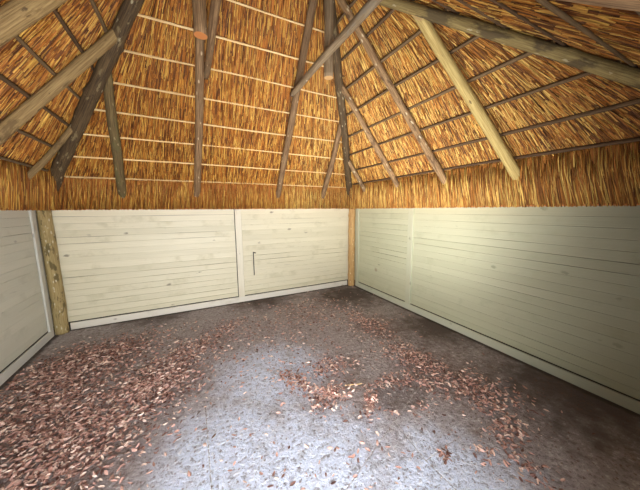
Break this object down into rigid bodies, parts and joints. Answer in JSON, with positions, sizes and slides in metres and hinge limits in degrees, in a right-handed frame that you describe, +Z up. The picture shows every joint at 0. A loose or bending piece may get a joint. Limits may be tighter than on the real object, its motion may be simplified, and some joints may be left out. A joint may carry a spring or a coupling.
{
  "type": "thatched hut with a rectangular room",
  "caption": "Small thatched hut with low painted board walls, a concrete floor, corner posts, an open doorway and a hipped reed roof on round poles.",
  "frame": {"origin": "on the ground under the middle of the room, on the underside of the floor slab", "axes": "+Z up, the doorway wall faces -Y, the roof's ridge runs along X"},
  "size_m": [5.2, 5.584, 4.148],
  "materials": {
    "concrete": "dusty, matt",
    "cream_boards": "old satin paint",
    "white_trim": "old satin paint",
    "cream_trim": "old satin paint",
    "raw_timber": "bare sawn timber",
    "bark_pole": "rough bark",
    "brown_pole": "weathered round pole",
    "grey_pole": "weathered round pole",
    "pale_pole": "peeled round pole",
    "mossy_pole": "mottled, lichen stained",
    "tan_pole": "peeled round pole",
    "lath_wood": "thin round sticks",
    "reed": "dry reed thatch",
    "black_iron": "blackened"
  },
  "bodies": {
    "root": {"back_apron": "reed", "back_laths": "lath_wood", "back_left_hip_rafter": "bark_pole", "back_left_post": "mossy_pole", "back_plate": "raw_timber", "back_rafters": "brown_pole", "back_right_hip_rafter": "bark_pole", "back_right_post": "tan_pole", "back_thatch": "reed", "back_wall": "cream_boards", "corner_trims": "cream_trim", "door_jambs": "cream_trim", "floor_slab": "concrete", "front_apron": "reed", "front_laths": "lath_wood", "front_left_hip_rafter": "pale_pole", "front_left_post": "mossy_pole", "front_plate": "raw_timber", "front_rafters": "brown_pole", "front_right_hip_rafter": "pale_pole", "front_right_post": "tan_pole", "front_thatch": "reed", "front_wall_left": "cream_boards", "front_wall_right": "cream_boards", "left_apron": "reed", "left_collar_tie": "brown_pole", "left_king_post": "brown_pole", "left_laths": "lath_wood", "left_plate": "raw_timber", "left_rafters": "pale_pole", "left_thatch": "reed", "left_wall": "cream_boards", "ridge_pole": "bark_pole", "ridge_roll": "reed", "right_apron": "reed", "right_collar_tie": "grey_pole", "right_king_post": "grey_pole", "right_laths": "lath_wood", "right_plate": "raw_timber", "right_rafters": "pale_pole", "right_thatch": "reed", "right_wall": "cream_boards", "skirting_boards": "white_trim", "wall_battens": "cream_trim", "wall_hook": "black_iron"}
  },
  "joints": []
}
